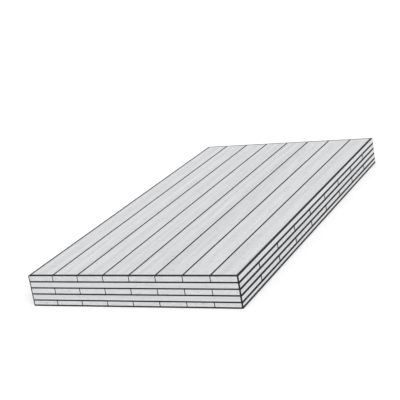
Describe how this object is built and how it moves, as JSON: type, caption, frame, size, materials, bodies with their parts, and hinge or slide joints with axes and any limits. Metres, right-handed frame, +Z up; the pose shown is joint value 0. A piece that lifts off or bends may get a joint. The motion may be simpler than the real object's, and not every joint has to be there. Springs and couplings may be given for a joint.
{
  "type": "stack of bamboo panels",
  "caption": "Rectangular stack of flat bamboo panels with flush edges, each edge-joined from straight boards that run crosswise to those of the next panel.",
  "frame": {"origin": "middle of the underside of the bottom panel", "axes": "+X across the stack, +Y along it and along the boards of its outer panels, +Z up"},
  "size_m": [1.22, 2.44, 0.175],
  "materials": {
    "bamboo": "pale grey bamboo, fine-sawn and matt, with narrow charcoal-sealed arrises"
  },
  "bodies": {
    "root": {"panel1_long_board1": "bamboo", "panel1_long_board2": "bamboo", "panel1_long_board3": "bamboo", "panel1_long_board4": "bamboo", "panel1_long_board5": "bamboo", "panel1_long_board6": "bamboo", "panel1_long_board7": "bamboo", "panel1_long_board8": "bamboo", "panel2_cross_board1": "bamboo", "panel2_cross_board2": "bamboo", "panel2_cross_board3": "bamboo", "panel2_cross_board4": "bamboo", "panel2_cross_board5": "bamboo", "panel2_cross_board6": "bamboo", "panel2_cross_board7": "bamboo", "panel2_cross_board8": "bamboo", "panel2_cross_board9": "bamboo", "panel3_long_board1": "bamboo", "panel3_long_board2": "bamboo", "panel3_long_board3": "bamboo", "panel3_long_board4": "bamboo", "panel3_long_board5": "bamboo", "panel3_long_board6": "bamboo", "panel3_long_board7": "bamboo", "panel3_long_board8": "bamboo", "panel4_cross_board1": "bamboo", "panel4_cross_board2": "bamboo", "panel4_cross_board3": "bamboo", "panel4_cross_board4": "bamboo", "panel4_cross_board5": "bamboo", "panel4_cross_board6": "bamboo", "panel4_cross_board7": "bamboo", "panel4_cross_board8": "bamboo", "panel4_cross_board9": "bamboo", "panel5_long_board1": "bamboo", "panel5_long_board2": "bamboo", "panel5_long_board3": "bamboo", "panel5_long_board4": "bamboo", "panel5_long_board5": "bamboo", "panel5_long_board6": "bamboo", "panel5_long_board7": "bamboo", "panel5_long_board8": "bamboo"}
  },
  "joints": []
}
